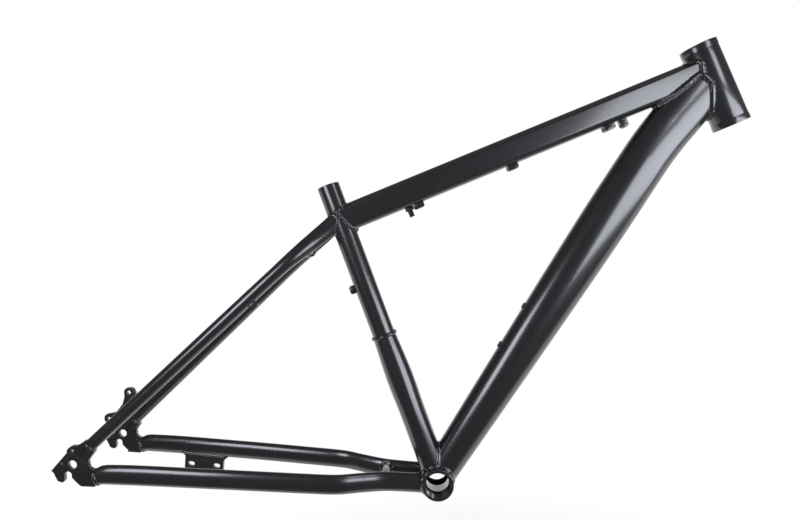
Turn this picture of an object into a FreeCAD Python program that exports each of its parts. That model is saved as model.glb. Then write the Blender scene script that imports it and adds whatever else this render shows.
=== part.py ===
import FreeCAD, Part
import math
import os
from FreeCAD import Placement, Rotation, Vector

# Bicycle frame: +X forward, +Y to the rider's left, +Z up, origin at the bottom bracket centre.
doc = FreeCAD.newDocument("bicycle_frame")

# Driving dimensions in millimetres and degrees
SIZES = {
    "reach": 395.0,
    "stack": 582.0,
    "head_angle": 69.8,
    "head_tube_length": 119.5,
    "head_tube_diameter": 49.4,
    "head_rim_diameter": 50.0,
    "head_rim_height": 9.0,
    "head_cup_bore": 44.0,
    "seat_angle": 72.8,
    "seat_tube_length": 440.0,
    "seat_tube_diameter": 31.8,
    "seat_tube_bore": 27.2,
    "seat_slot_width": 2.4,
    "seat_slot_length": 32.0,
    "seat_slot_end_diameter": 5.0,
    "sleeve_top": 214.0,
    "sleeve_top_depth": 32.6,
    "sleeve_bulge_depth": 38.2,
    "sleeve_bulge_height": 152.0,
    "sleeve_bulge_taper": 50.0,
    "sleeve_foot_depth": 36.6,
    "sleeve_bulge_width": 40.0,
    "sleeve_foot_width": 42.0,
    "bb_shell_width": 73.0,
    "bb_shell_diameter": 43.6,
    "bb_bore": 33.9,
    "chainstay_length": 490.0,
    "bb_drop": 52.0,
    "dropout_spacing": 135.0,
    "tube_wall": 1.6,
    "stay_wall": 1.5,
    "top_tube_seat_height": 387.3,
    "top_tube_head_drop": 36.0,
    "top_tube_depth_rear": 38.0,
    "top_tube_depth_front": 37.2,
    "top_tube_width_rear": 34.0,
    "top_tube_width_front": 40.0,
    "top_tube_crown_rear": 17.0,
    "top_tube_crown_front": 13.0,
    "top_tube_crease_rear": 8.0,
    "top_tube_crease_front": 15.0,
    "top_tube_tuck": 5.0,
    "top_tube_edge_radius": 3.0,
    "top_tube_belly_radius": 8.0,
    "down_tube_angle": 53.8,
    "down_tube_depth_lower": 46.0,
    "down_tube_depth_middle": 57.4,
    "down_tube_depth_upper": 66.5,
    "down_tube_depth_end": 64.0,
    "down_tube_width_lower": 43.0,
    "down_tube_width_middle": 47.0,
    "down_tube_width_upper": 49.0,
    "down_tube_width_end": 44.0,
    "down_tube_middle_at": 210.0,
    "down_tube_upper_at": 420.0,
    "down_tube_bend_start": 528.0,
    "down_tube_bend_radius": 520.0,
    "down_tube_bend_angle": 8.0,
    "down_tube_end_run": 62.0,
    "boss_spacing": 64.0,
    "boss_centre_at": 238.0,
    "boss_thread_bore": 4.3,
    "boss_flange_diameter": 9.5,
    "boss_flange_thickness": 1.8,
    "boss_flange_sunk": 0.4,
    "boss_body_diameter": 7.0,
    "boss_body_depth": 10.0,
    "chainstay_drop": 2.2,
    "chainstay_rise": 0.1197,
    "chainstay_height": 26.5,
    "chainstay_end_height": 21.5,
    "chainstay_width": 16.0,
    "chainstay_bend_width": 14.5,
    "chainstay_shell_offset": 23.0,
    "chainstay_tyre_offset": 53.0,
    "chainstay_axle_offset": 69.0,
    "chainstay_bend_front": 74.0,
    "chainstay_bend_rear": 134.0,
    "chainstay_start": 8.0,
    "chainstay_end_setback": 35.5,
    "chainstay_end_dip": 5.6,
    "seatstay_diameter": 18.2,
    "seatstay_end_diameter": 17.0,
    "seatstay_top_height": 24.0,
    "seatstay_top_width": 13.0,
    "seatstay_end_forward": 29.0,
    "seatstay_end_rise": 36.0,
    "seatstay_end_offset": 67.0,
    "dropout_thickness": 6.5,
    "arm_thickness": 12.5,
    "axle_slot_width": 10.2,
    "hanger_hole": 12.0,
    "eyelet_hole": 5.0,
    "rack_hole": 4.2,
    "hanger_hole_forward": 6.7,
    "hanger_hole_rise": 13.6,
    "eyelet_forward": 7.0,
    "eyelet_rise": 31.8,
    "rack_hole_back": 8.2,
    "rack_hole_rise": 15.6,
    "arm_pocket_depth": 1.5,
    "disc_hole_spacing": 51.0,
    "disc_hole": 6.2,
    "disc_hole_back": 6.8,
    "disc_hole_rise": 40.2,
    "disc_hole_tilt": 49.6,
    "disc_ear_radius": 7.5,
    "disc_plate_thickness": 7.0,
    "disc_plate_offset": 54.0,
    "kickstand_plate_thickness": 6.0,
    "kickstand_slot_spacing": 40.0,
    "kickstand_slot_length": 10.5,
    "kickstand_slot_height": 6.8,
    "kickstand_plate_length": 60.0,
    "kickstand_plate_drop": 22.0,
    "kickstand_setback": 136.3,
    "kickstand_slot_rise": 8.4,
    "seatstay_bridge_diameter": 15.0,
    "seatstay_bridge_back": 50.0,
    "seatstay_bridge_drop": 39.0,
    "seatstay_bridge_reach": 20.0,
    "chainstay_bridge_diameter": 16.0,
    "chainstay_bridge_back": 72.0,
    "chainstay_bridge_rise": 9.0,
    "chainstay_bridge_reach": 27.0,
    "guide_bore": 5.2,
    "guide_slit": 2.2,
    "guide_pitch": 8.4,
    "guide_bite": 1.5,
    "guide_rim": 1.1,
    "double_guide_length": 15.5,
    "double_guide_width": 16.0,
    "double_guide_height": 7.0,
    "single_guide_width": 9.0,
    "front_guide_at": 395.5,
    "middle_guide_at": 251.5,
    "rear_guide_at": 109.8,
    "front_hose_guide_at": 416.5,
    "front_hose_guide_height": 11.5,
    "cable_stop_at": 95.6,
    "cable_stop_height": 14.0,
    "cable_stop_length": 12.0,
    "seat_guide_height": 290.0,
}

sheet = doc.addObject("Spreadsheet::Sheet", "sizes")
for row, (name, value) in enumerate(SIZES.items(), start=1):
    sheet.set(f"A{row}", name)
    sheet.set(f"B{row}", str(value))
    sheet.setAlias(f"B{row}", name)
doc.recompute()

subparts = {}


def size(name):
    return float(getattr(sheet, name))


def keep(feature, label):
    feature.Label = label
    subparts[label] = feature
    return feature


# Skeleton: directions and points of the side view


def heading(angle):
    return Vector(math.cos(math.radians(angle)), 0, math.sin(math.radians(angle)))


seat_axis = heading(180 - size("seat_angle"))
head_axis = heading(180 - size("head_angle"))
head_top = Vector(size("reach"), 0, size("stack"))
rear_axle = Vector(-math.sqrt(size("chainstay_length") ** 2 - size("bb_drop") ** 2), 0, size("bb_drop"))
top_tube_rear = seat_axis * size("top_tube_seat_height")
top_tube_front = head_top - head_axis * size("top_tube_head_drop")
top_tube_axis = (top_tube_front - top_tube_rear).normalize()
top_tube_up = Vector(-top_tube_axis.z, 0, top_tube_axis.x)
down_tube_axis = heading(size("down_tube_angle"))

SEAT_PLACE = "create(<<rotation>>; 0; sizes.seat_angle - 90; 0)"
HEAD_PLACE = "create(<<rotation>>; 0; sizes.head_angle - 90; 0)"


def bind(feature, **expressions):
    for name, expression in expressions.items():
        feature.setExpression(name, expression)
    return feature


def place(feature, x, y, z, rotation):
    feature.setExpression("Placement", f"create(<<placement>>; create(<<vector>>; {x}; {y}; {z}); {rotation})")
    return feature


def shape_feature(name, shape):
    feature = doc.addObject("Part::Feature", name)
    feature.Shape = shape
    return feature


def cut(name, base, *tools):
    for index, tool in enumerate(tools):
        trimmed = doc.addObject("Part::Cut", f"{name}_cut_{index}")
        trimmed.Base = base
        trimmed.Tool = tool
        base = trimmed
    return base


# Section outlines


def rounded_outline(corners):
    """Lines and tangent arcs through corners given as (x, y, radius)."""
    edges = []
    starts = []
    ends = []
    arcs = []
    count = len(corners)
    for index, (x, y, radius) in enumerate(corners):
        here = Vector(x, y, 0)
        before = Vector(*corners[index - 1][:2], 0)
        after = Vector(*corners[(index + 1) % count][:2], 0)
        to_before = (before - here).normalize()
        to_after = (after - here).normalize()
        half = to_before.getAngle(to_after) / 2
        setback = radius / math.tan(half)
        start = here + to_before * setback
        end = here + to_after * setback
        starts.append(start)
        ends.append(end)
        if radius > 0:
            bisector = (to_before + to_after).normalize()
            centre = here + bisector * (radius / math.sin(half))
            middle = centre - bisector * radius
            arcs.append(Part.Arc(start, middle, end))
        else:
            arcs.append(None)
    for index in range(count):
        if arcs[index]:
            edges.append(arcs[index])
        following = starts[(index + 1) % count]
        if (following - ends[index]).Length > 1e-6:
            edges.append(Part.LineSegment(ends[index], following))
    return edges


def section_frame(centre, tangent):
    """Placement whose X is sideways, Y is up and Z runs along the tube."""
    along = Vector(tangent).normalize()
    up = Vector(0, 0, 1) - along * along.z
    up.normalize()
    sideways = up.cross(along)
    return Placement(centre, Rotation(sideways, up, along, "ZYX"))


def oval_wire(centre, tangent, width, depth, lean, sides):
    """Closed oval of short chords; lean above 0 makes its upper half the wider one."""
    frame = section_frame(centre, tangent)
    points = []
    for side in range(sides):
        turn = 2 * math.pi * (side + 0.5) / sides
        sideways = width / 2 * math.cos(turn) * (1 + lean * math.sin(turn))
        points.append(frame.multVec(Vector(sideways, depth / 2 * math.sin(turn), 0)))
    return Part.makePolygon(points + points[:1])


def oval_tube(name, stations, wall, sides):
    """Outer and inner solids of a formed tube whose stations are (centre, tangent, width, depth, lean)."""
    outer = [oval_wire(*station, sides) for station in stations]
    bore = [(c, t, width - 2 * wall, depth - 2 * wall, lean) for c, t, width, depth, lean in stations]
    inner = [oval_wire(*station, sides // 2) for station in bore]
    outside = shape_feature(f"{name}_outside", Part.makeLoft(outer, True, True))
    inside = shape_feature(f"{name}_inside", Part.makeLoft(inner, True, True))
    return outside, inside


def creased_wire(centre, width, depth, crown, crease, scale_wall):
    """Top tube section: narrow crown, slanted upper facets, upright sides, rounded belly."""
    half = width / 2 - scale_wall
    top = depth / 2 - scale_wall
    edge = size("top_tube_edge_radius")
    belly = size("top_tube_belly_radius")
    tuck = size("top_tube_tuck")
    crown_half = crown / 2 - scale_wall * 0.4
    right = [(crown_half, top, edge), (half, top - crease, edge), (half - tuck, -top, belly)]
    left = [(-x, y, radius) for x, y, radius in reversed(right)]
    points = []
    for outline_edge in rounded_outline(right + left):
        if isinstance(outline_edge, Part.Arc):
            points += outline_edge.toShape().discretize(3)
    frame = section_frame(centre, top_tube_axis)
    points = [frame.multVec(point) for point in points]
    return Part.makePolygon(points + points[:1])


# Head tube: turned tube with a rim and a reamed cup seat at each end


def revolved_body(name, points):
    body = doc.addObject("PartDesign::Body", name)
    sketch = body.newObject("Sketcher::SketchObject", f"{name}_profile")
    plane = [item for item in body.Origin.OriginFeatures if item.Role == "XZ_Plane"][0]
    sketch.AttachmentSupport = [(plane, "")]
    sketch.MapMode = "FlatFace"
    for index, point in enumerate(points):
        following = points[(index + 1) % len(points)]
        sketch.addGeometry(Part.LineSegment(Vector(*point, 0), Vector(*following, 0)), False)
    turned = body.newObject("PartDesign::Revolution", f"{name}_turned")
    turned.Profile = sketch
    turned.ReferenceAxis = (sketch, ["V_Axis"])
    turned.Angle = 360
    return body


def head_tube():
    length = size("head_tube_length")
    rim = size("head_rim_diameter") / 2
    middle = size("head_tube_diameter") / 2
    cup = size("head_cup_bore") / 2
    rim_height = size("head_rim_height")
    points = [
        (cup, 0), (rim, 0), (rim, -rim_height), (middle, -rim_height),
        (middle, rim_height - length), (rim, rim_height - length), (rim, -length), (cup, -length),
    ]
    tube = revolved_body("head_tube", points)
    place(tube, "sizes.reach", "0", "sizes.stack", HEAD_PLACE)
    envelope = doc.addObject("Part::Cylinder", "head_tube_envelope")
    bind(envelope, Radius="sizes.head_tube_diameter / 2", Height="sizes.head_tube_length")
    lean = "sizes.head_tube_length * cos(sizes.head_angle)"
    fall = "sizes.head_tube_length * sin(sizes.head_angle)"
    place(envelope, f"sizes.reach + {lean}", "0", f"sizes.stack - {fall}", HEAD_PLACE)
    keep(tube, "head_tube")
    return envelope


head_envelope = head_tube()


# Bottom bracket shell across the frame


def bb_shell():
    half = size("bb_shell_width") / 2
    outer = size("bb_shell_diameter") / 2
    bore = size("bb_bore") / 2
    points = [(bore, half), (outer, half), (outer, -half), (bore, -half)]
    shell = revolved_body("bb_shell", points)
    place(shell, "0", "0", "0", "create(<<rotation>>; 0; 0; 90)")
    envelope = doc.addObject("Part::Cylinder", "bb_shell_envelope")
    bind(envelope, Radius="sizes.bb_shell_diameter / 2", Height="sizes.bb_shell_width")
    place(envelope, "0", "sizes.bb_shell_width / 2", "0", "create(<<rotation>>; 0; 0; 90)")
    keep(shell, "bb_shell")
    return envelope


bb_envelope = bb_shell()


# Seat tube, upper round length with the clamp slot at the back


def seat_cylinder(name, diameter, start, end):
    cylinder = doc.addObject("Part::Cylinder", name)
    bind(cylinder, Radius=f"{diameter} / 2", Height=f"{end} - ({start})")
    back = f"-({start}) * cos(sizes.seat_angle)"
    rise = f"({start}) * sin(sizes.seat_angle)"
    return place(cylinder, back, "0", rise, SEAT_PLACE)


def seat_tube():
    outside = seat_cylinder("seat_tube_envelope", "sizes.seat_tube_diameter", "sizes.sleeve_top",
                            "sizes.seat_tube_length")
    bore = seat_cylinder("seat_tube_inside", "sizes.seat_tube_bore", "sizes.sleeve_top - 1",
                         "sizes.seat_tube_length + 1")
    slot = doc.addObject("Part::Box", "seat_slot")
    bind(slot, Length="sizes.seat_tube_diameter", Width="sizes.seat_slot_width", Height="sizes.seat_slot_length + 1")
    start = "(sizes.seat_tube_length - sizes.seat_slot_length)"
    along = f"{start} * cos(sizes.seat_angle) + sizes.seat_tube_diameter * sin(sizes.seat_angle)"
    rise = f"{start} * sin(sizes.seat_angle) - sizes.seat_tube_diameter * cos(sizes.seat_angle)"
    place(slot, f"-({along})", "-sizes.seat_slot_width / 2", rise, SEAT_PLACE)
    stop = doc.addObject("Part::Cylinder", "seat_slot_end")
    bind(stop, Radius="sizes.seat_slot_end_diameter / 2", Height="sizes.seat_tube_diameter")
    place(stop, f"-{start} * cos(sizes.seat_angle)", "0", f"{start} * sin(sizes.seat_angle)",
          "create(<<rotation>>; 0; sizes.seat_angle - 180; 0)")
    keep(cut("seat_tube", outside, bore, slot, stop), "seat_tube")
    return outside


seat_envelope = seat_tube()


# Top tube: two creased sections, longer than the gap and coped to both neighbours


def top_tube():
    def solid(name, wall):
        rear = creased_wire(top_tube_rear, size("top_tube_width_rear"), size("top_tube_depth_rear"),
                            size("top_tube_crown_rear"), size("top_tube_crease_rear"), wall)
        front = creased_wire(top_tube_front, size("top_tube_width_front"), size("top_tube_depth_front"),
                             size("top_tube_crown_front"), size("top_tube_crease_front"), wall)
        return shape_feature(name, Part.makeLoft([rear, front], True, True))

    outside = solid("top_tube_outside", 0)
    inside = solid("top_tube_inside", size("tube_wall"))
    keep(cut("top_tube", outside, head_envelope, seat_envelope, inside), "top_tube")
    return outside


top_envelope = top_tube()


# Down tube: oval that deepens toward the head, then bends forward into the head tube


def down_tube():
    angle = size("down_tube_angle")
    bend = size("down_tube_bend_angle")
    radius = size("down_tube_bend_radius")
    start = down_tube_axis * size("down_tube_bend_start")
    up = Vector(-down_tube_axis.z, 0, down_tube_axis.x)
    centre = start - up * radius

    def on_bend(turned):
        direction = heading(angle - turned)
        return centre + Vector(-direction.z, 0, direction.x) * radius, direction

    middle, middle_way = on_bend(bend / 2)
    leaving, leaving_way = on_bend(bend)
    finish = leaving + leaving_way * size("down_tube_end_run")
    lower = (size("down_tube_width_lower"), size("down_tube_depth_lower"), 0.0)
    waist = (size("down_tube_width_middle"), size("down_tube_depth_middle"), 0.04)
    upper = (size("down_tube_width_upper"), size("down_tube_depth_upper"), 0.12)
    end = (size("down_tube_width_end"), size("down_tube_depth_end"), 0.16)
    stations = [
        (Vector(0, 0, 0), down_tube_axis, *lower),
        (down_tube_axis * size("down_tube_middle_at"), down_tube_axis, *waist),
        (down_tube_axis * size("down_tube_upper_at"), down_tube_axis, *upper),
        (start, down_tube_axis, *upper),
        (middle, middle_way, *upper),
        (leaving, leaving_way, *upper),
        (finish, leaving_way, *end),
    ]
    outside, inside = oval_tube("down_tube", stations, size("tube_wall"), 28)
    return outside, inside


down_envelope, down_inside = down_tube()


# Bottle bosses: two riveted inserts on the upper face of the down tube


def surface_point(solid, inside, direction):
    """Point where a ray that starts inside a solid leaves it."""
    ray = Part.makeLine(inside, inside + direction * 200)
    return solid.common(ray).Vertexes[-1].Point


def bottle_bosses():
    up = Vector(-down_tube_axis.z, 0, down_tube_axis.x)
    spacing = size("boss_spacing")
    middle_at = size("boss_centre_at")
    lower = surface_point(down_envelope.Shape, down_tube_axis * (middle_at - spacing / 2), up)
    upper = surface_point(down_envelope.Shape, down_tube_axis * (middle_at + spacing / 2), up)
    along = (upper - lower).normalize()
    seat = section_frame(lower, along)
    outward = seat.Rotation.multVec(Vector(0, 1, 0))
    flange = size("boss_flange_diameter") / 2
    body = size("boss_body_diameter") / 2
    bore = size("boss_thread_bore") / 2
    thickness = size("boss_flange_thickness")
    depth = size("boss_body_depth")
    sunk = size("boss_flange_sunk")
    points = [(bore, thickness), (flange, thickness), (flange, -sunk), (body, -sunk), (body, -depth), (bore, -depth)]
    bosses = []
    envelopes = []
    for name, centre in (("lower_boss", lower), ("upper_boss", lower + along * spacing)):
        boss = revolved_body(name, points)
        boss.Placement = Placement(centre, Rotation(Vector(0, 0, 1), outward))
        bosses.append(boss)
        hole = Part.makeCylinder(body, depth * 2, centre - outward * depth, outward)
        envelopes.append(hole.fuse(Part.makeCylinder(flange, depth, centre - outward * sunk, outward)))
    pair = doc.addObject("Part::Compound", "boss_pair")
    pair.Links = bosses
    keep(pair, "bottle_bosses")
    return shape_feature("boss_holes", envelopes[0].fuse(envelopes[1]))


boss_holes = bottle_bosses()
keep(cut("down_tube", down_envelope, head_envelope, top_envelope, bb_envelope, down_inside, boss_holes), "down_tube")


# Lower seat tube: swells below the joint and sits on the shell


def lower_seat_tube():
    top = size("sleeve_top")
    bulge = size("sleeve_bulge_height")
    taper = size("sleeve_bulge_taper")
    foot = (size("sleeve_foot_width"), size("sleeve_foot_depth"), 0.0)
    full = (size("sleeve_bulge_width"), size("sleeve_bulge_depth"), 0.0)
    neck = (size("sleeve_top_depth"), size("sleeve_top_depth"), 0.0)
    stations = [
        (Vector(0, 0, 0), seat_axis, *foot),
        (seat_axis * (bulge - taper), seat_axis, *foot),
        (seat_axis * bulge, seat_axis, *full),
        (seat_axis * top, seat_axis, *neck),
    ]
    outside, inside = oval_tube("seat_tube_lower", stations, size("tube_wall"), 24)
    keep(cut("seat_tube_lower", outside, bb_envelope, down_envelope, inside), "seat_tube_lower")
    return outside


sleeve_envelope = lower_seat_tube()


# Stays: centre lines given for the left side, mirrored for the right


def tangents(points):
    last = len(points) - 1
    return [points[min(i + 1, last)] - points[max(i - 1, 0)] for i in range(last + 1)]


def stay(name, rows, side):
    """Rows are (x, y, z, width, depth) from front to rear."""
    centres = [Vector(x, side * y, z) for x, y, z, width, depth in rows]
    stations = [
        (centre, tangent, row[3], row[4], 0.0) for centre, tangent, row in zip(centres, tangents(centres), rows)
    ]
    return oval_tube(name, stations, size("stay_wall"), 18)


def chainstay_rows():
    height = size("chainstay_height")
    width = size("chainstay_width")
    pinched = size("chainstay_bend_width")
    front = size("chainstay_bend_front")
    rear = size("chainstay_bend_rear")
    shell = size("chainstay_shell_offset")
    tyre = size("chainstay_tyre_offset")
    middle = (shell + tyre) / 2

    def level(distance):
        return size("chainstay_rise") * distance - size("chainstay_drop")

    joint = -rear_axle.x - size("chainstay_end_setback")
    start = size("chainstay_start")
    axle_side = size("chainstay_axle_offset")
    middle_at = (front + rear) / 2
    straight_at = (rear + joint) / 2
    straight_side = tyre + (axle_side - tyre) * 0.56
    quarter = (rear - front) / 4
    return [
        (-start, shell, level(start), width, height),
        (-front * 0.55, shell + 0.6, level(front * 0.55), width, height),
        (-front, shell + 4, level(front), pinched, height),
        (-middle_at, middle, level(middle_at), pinched, height),
        (-rear, tyre - 2.5, level(rear), pinched, height),
        (-rear - quarter * 2, tyre + 1.2, level(rear + quarter * 2), width, height),
        (-straight_at, straight_side, level(straight_at), width, height),
        (-joint + 13, axle_side - 0.4, level(joint - 13) - 1.6, width, height - 0.5),
        (-joint, axle_side, level(joint) - size("chainstay_end_dip"), width, size("chainstay_end_height")),
    ]


def seatstay_rows():
    top_high = size("seatstay_top_height")
    top_wide = size("seatstay_top_width")
    round_size = size("seatstay_diameter")
    end_size = size("seatstay_end_diameter")
    end_x = rear_axle.x + size("seatstay_end_forward")
    end_z = rear_axle.z + size("seatstay_end_rise")
    seat_x = top_tube_rear.x
    seat_z = top_tube_rear.z
    return [
        (seat_x - 3, 8.5, seat_z + 2, top_wide, top_high),
        (seat_x - 20, 12.5, seat_z - 12, top_wide, top_high),
        (seat_x - 37, 17.5, seat_z - 25.5, top_wide + 1.5, top_high - 0.5),
        (seat_x - 53, 24.2, seat_z - 38, top_wide + 3.5, top_high - 2),
        (seat_x - 70, 31, seat_z - 51.5, round_size, round_size + 1.5),
        (seat_x - 91, 35.5, seat_z - 69, round_size, round_size),
        (seat_x - 126, 40.5, seat_z - 98.5, round_size, round_size),
        (end_x, size("seatstay_end_offset"), end_z, end_size, end_size),
    ]


stay_envelopes = {}
for side_name, side in (("right", -1), ("left", 1)):
    outside, inside = stay(f"chainstay_{side_name}", chainstay_rows(), side)
    stay_envelopes[f"chainstay_{side_name}"] = outside
    coped = cut(f"chainstay_{side_name}", outside, bb_envelope, sleeve_envelope, inside)
    keep(coped, f"chainstay_{side_name}")
    outside, inside = stay(f"seatstay_{side_name}", seatstay_rows(), side)
    stay_envelopes[f"seatstay_{side_name}"] = outside
    keep(cut(f"seatstay_{side_name}", outside, seat_envelope, inside), f"seatstay_{side_name}")


# Bridges between the stays


def bridge(label, x, z, tools):
    bar = doc.addObject("Part::Cylinder", f"{label}_bar")
    bind(bar, Radius=f"sizes.{label}_diameter / 2", Height=f"2 * sizes.{label}_reach")
    bar.Placement = Placement(Vector(x, size(f"{label}_reach"), z), Rotation(Vector(1, 0, 0), 90))
    keep(cut(label, bar, *tools), label)


bridge("seatstay_bridge", top_tube_rear.x - size("seatstay_bridge_back"),
       top_tube_rear.z - size("seatstay_bridge_drop"),
       (stay_envelopes["seatstay_right"], stay_envelopes["seatstay_left"]))
bridge("chainstay_bridge", -size("chainstay_bridge_back"), size("chainstay_bridge_rise"),
       (stay_envelopes["chainstay_right"], stay_envelopes["chainstay_left"]))


# Rear dropouts: forged plates with a downward slot, a hook and two thick arms


def body_sketch(body, name, geometry, offset=0.0):
    sketch = body.newObject("Sketcher::SketchObject", name)
    plane = [item for item in body.Origin.OriginFeatures if item.Role == "XZ_Plane"][0]
    sketch.AttachmentSupport = [(plane, "")]
    sketch.MapMode = "FlatFace"
    sketch.AttachmentOffset = Placement(Vector(0, 0, offset), Rotation())
    for edge in geometry:
        sketch.addGeometry(edge, False)
    return sketch


def add_pad(body, sketch, length):
    feature = body.newObject("PartDesign::Pad", f"{sketch.Name}_pad")
    feature.Profile = sketch
    feature.setExpression("Length", length)
    body.Tip = feature
    return feature


def add_pocket(body, sketch, length):
    doc.recompute()
    before = body.Shape.Volume
    feature = body.newObject("PartDesign::Pocket", f"{sketch.Name}_pocket")
    feature.Profile = sketch
    feature.setExpression("Length", length)
    feature.Reversed = True
    body.Tip = feature
    doc.recompute()
    print(sketch.Name, "removes", round(before - body.Shape.Volume, 1))
    return feature


def circle(x, z, diameter):
    return Part.Circle(Vector(x, z, 0), Vector(0, 0, 1), diameter / 2)


def stadium(first, second, width):
    """Slot outline between two centres."""
    a = Vector(*first, 0)
    b = Vector(*second, 0)
    along = (b - a).normalize()
    across = Vector(-along.y, along.x, 0) * (width / 2)
    return [
        Part.LineSegment(a + across, b + across),
        Part.Arc(b + across, b + along * (width / 2), b - across),
        Part.LineSegment(b - across, a - across),
        Part.Arc(a - across, a - along * (width / 2), a + across),
    ]


def dropout(label, outer_face):
    slot = size("axle_slot_width") / 2
    outline = [
        (24.4, 44.0, 0), (14.5, 38.4, 0), (7.5, 39.0, 5), (0.6, 34.2, 4), (0.2, 29.8, 0), (-22.0, 7.2, 0),
        (-18.6, 3.4, 0), (-17.0, -1.2, 0), (-14.0, -7.2, 3), (-7.0, -9.6, 2.2), (-slot, -5.6, 0),
        (-slot, slot, slot), (slot, slot, slot), (slot, -3.6, 0), (10.9, -10.2, 0), (16.5, -15.5, 3),
        (34.4, -17.0, 0), (36.2, 4.6, 0), (28.0, 8.6, 6.5), (28.0, 18.0, 6.5), (34.7, 26.3, 0),
    ]
    seat_arm = [(25.6, 43.0, 0), (13.5, 33.5, 0), (24.0, 17.5, 0), (34.6, 27.4, 0)]
    chain_arm = [(15.5, -13.5, 0), (35.0, -15.8, 0), (36.6, 3.4, 0), (18.0, 3.0, 0)]
    body = doc.addObject("PartDesign::Body", label)
    add_pad(body, body_sketch(body, f"{label}_plate", rounded_outline(outline)), "sizes.dropout_thickness")
    inner = 0.0
    if outer_face < 0:
        inner = size("dropout_thickness") - size("arm_thickness")
    add_pad(body, body_sketch(body, f"{label}_seat_arm", rounded_outline(seat_arm), inner), "sizes.arm_thickness")
    add_pad(body, body_sketch(body, f"{label}_chain_arm", rounded_outline(chain_arm), inner), "sizes.arm_thickness")
    holes = [
        circle(size("hanger_hole_forward"), size("hanger_hole_rise"), size("hanger_hole")),
        circle(size("eyelet_forward"), size("eyelet_rise"), size("eyelet_hole")),
        circle(-size("rack_hole_back"), size("rack_hole_rise"), size("rack_hole")),
    ]
    add_pocket(body, body_sketch(body, f"{label}_holes", holes, -1), "sizes.arm_thickness + 10")
    pockets = stadium((21.0, 24.6), (27.2, 31.4), 9.0) + stadium((24.5, -7.0), (32.5, -7.4), 10.0)
    depth_start = size("dropout_thickness") - size("arm_pocket_depth")
    if outer_face > 0:
        depth_start = -1.0
    recess = body_sketch(body, f"{label}_recess", pockets, depth_start)
    add_pocket(body, recess, "sizes.arm_pocket_depth + 1")
    place(body, str(rear_axle.x), str(outer_face), str(rear_axle.z), "create(<<rotation>>; 0; 0; 0)")
    return body


half_spacing = size("dropout_spacing") / 2
right_dropout = dropout("dropout_right_forging", -half_spacing)
left_dropout = dropout("dropout_left_forging", half_spacing + size("dropout_thickness"))
for side_name, forging in (("right", right_dropout), ("left", left_dropout)):
    seat_stay = stay_envelopes[f"seatstay_{side_name}"]
    chain_stay = stay_envelopes[f"chainstay_{side_name}"]
    keep(cut(f"dropout_{side_name}", forging, seat_stay, chain_stay), f"dropout_{side_name}")

# Disc brake mount: plate with two ears, welded along the left seat stay


def disc_brake_mount():
    spacing = size("disc_hole_spacing")
    tilt = math.radians(size("disc_hole_tilt"))
    lower = Vector(-size("disc_hole_back"), size("disc_hole_rise"), 0)
    upper = lower + Vector(math.cos(tilt), math.sin(tilt), 0) * spacing
    ear = size("disc_ear_radius")
    outline = [
        (lower.x - ear, lower.y - 1, ear - 0.5), (lower.x - ear + 1.5, lower.y + ear, ear - 1),
        (lower.x + ear + 4, lower.y + ear + 2, 8), (upper.x - 10.5, upper.y - 17, 12),
        (upper.x - ear + 0.5, upper.y - 6, 6), (upper.x - ear, upper.y + ear, ear - 0.5),
        (upper.x + ear, upper.y + ear, ear - 0.5), (upper.x + ear + 4, upper.y - 8, 4),
        (upper.x + 22, upper.y - 22, 3), (19, 27, 3), (6, 24, 3), (lower.x - 2, lower.y - ear - 0.5, 4),
    ]
    body = doc.addObject("PartDesign::Body", "disc_plate")
    add_pad(body, body_sketch(body, "disc_plate_outline", rounded_outline(outline)), "sizes.disc_plate_thickness")
    holes = [circle(lower.x, lower.y, size("disc_hole")), circle(upper.x, upper.y, size("disc_hole"))]
    add_pocket(body, body_sketch(body, "disc_plate_holes", holes, -1), "sizes.disc_plate_thickness + 10")
    place(body, str(rear_axle.x), "sizes.disc_plate_offset + sizes.disc_plate_thickness", str(rear_axle.z),
          "create(<<rotation>>; 0; 0; 0)")
    keep(cut("disc_brake_mount", body, stay_envelopes["seatstay_left"], left_dropout), "disc_brake_mount")


disc_brake_mount()


# Kickstand plate: slotted plate hung from the left chain stay


def kickstand_plate():
    half = size("kickstand_plate_length") / 2
    drop = size("kickstand_plate_drop")
    under = size("chainstay_height") / 2
    bite = 5.0
    flare = 7.0
    outline = [
        (-half, -under - drop, 3), (half, -under - drop, 3), (half, -under - 5, 0), (half + flare, -under + 1, 0),
        (half + flare, -under + bite, 0), (-half - flare, -under + bite, 0), (-half - flare, -under + 1, 0),
        (-half, -under + 0.5, 5),
    ]
    body = doc.addObject("PartDesign::Body", "kickstand_blank")
    add_pad(body, body_sketch(body, "kickstand_outline", rounded_outline(outline)), "sizes.kickstand_plate_thickness")
    reach = (size("kickstand_slot_length") - size("kickstand_slot_height")) / 2
    slots = []
    for side in (-1, 1):
        middle = side * size("kickstand_slot_spacing") / 2
        level = size("kickstand_slot_rise") - under - drop
        slots += stadium((middle - reach, level), (middle + reach, level), size("kickstand_slot_height"))
    add_pocket(body, body_sketch(body, "kickstand_slots", slots, -1), "sizes.kickstand_plate_thickness + 10")
    x = rear_axle.x + size("kickstand_setback")
    z = -size("chainstay_rise") * x - size("chainstay_drop")
    slope = math.degrees(math.atan(size("chainstay_rise")))
    place(body, str(x), "(sizes.chainstay_axle_offset + sizes.chainstay_tyre_offset) / 2 + 5", str(z),
          f"create(<<rotation>>; -3; {slope}; 0)")
    keep(cut("kickstand_plate", body, stay_envelopes["chainstay_left"]), "kickstand_plate")


kickstand_plate()


# Cable guides: rounded blocks with slit bores, brazed under the top tube, on the seat tube and on the right stay


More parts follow.
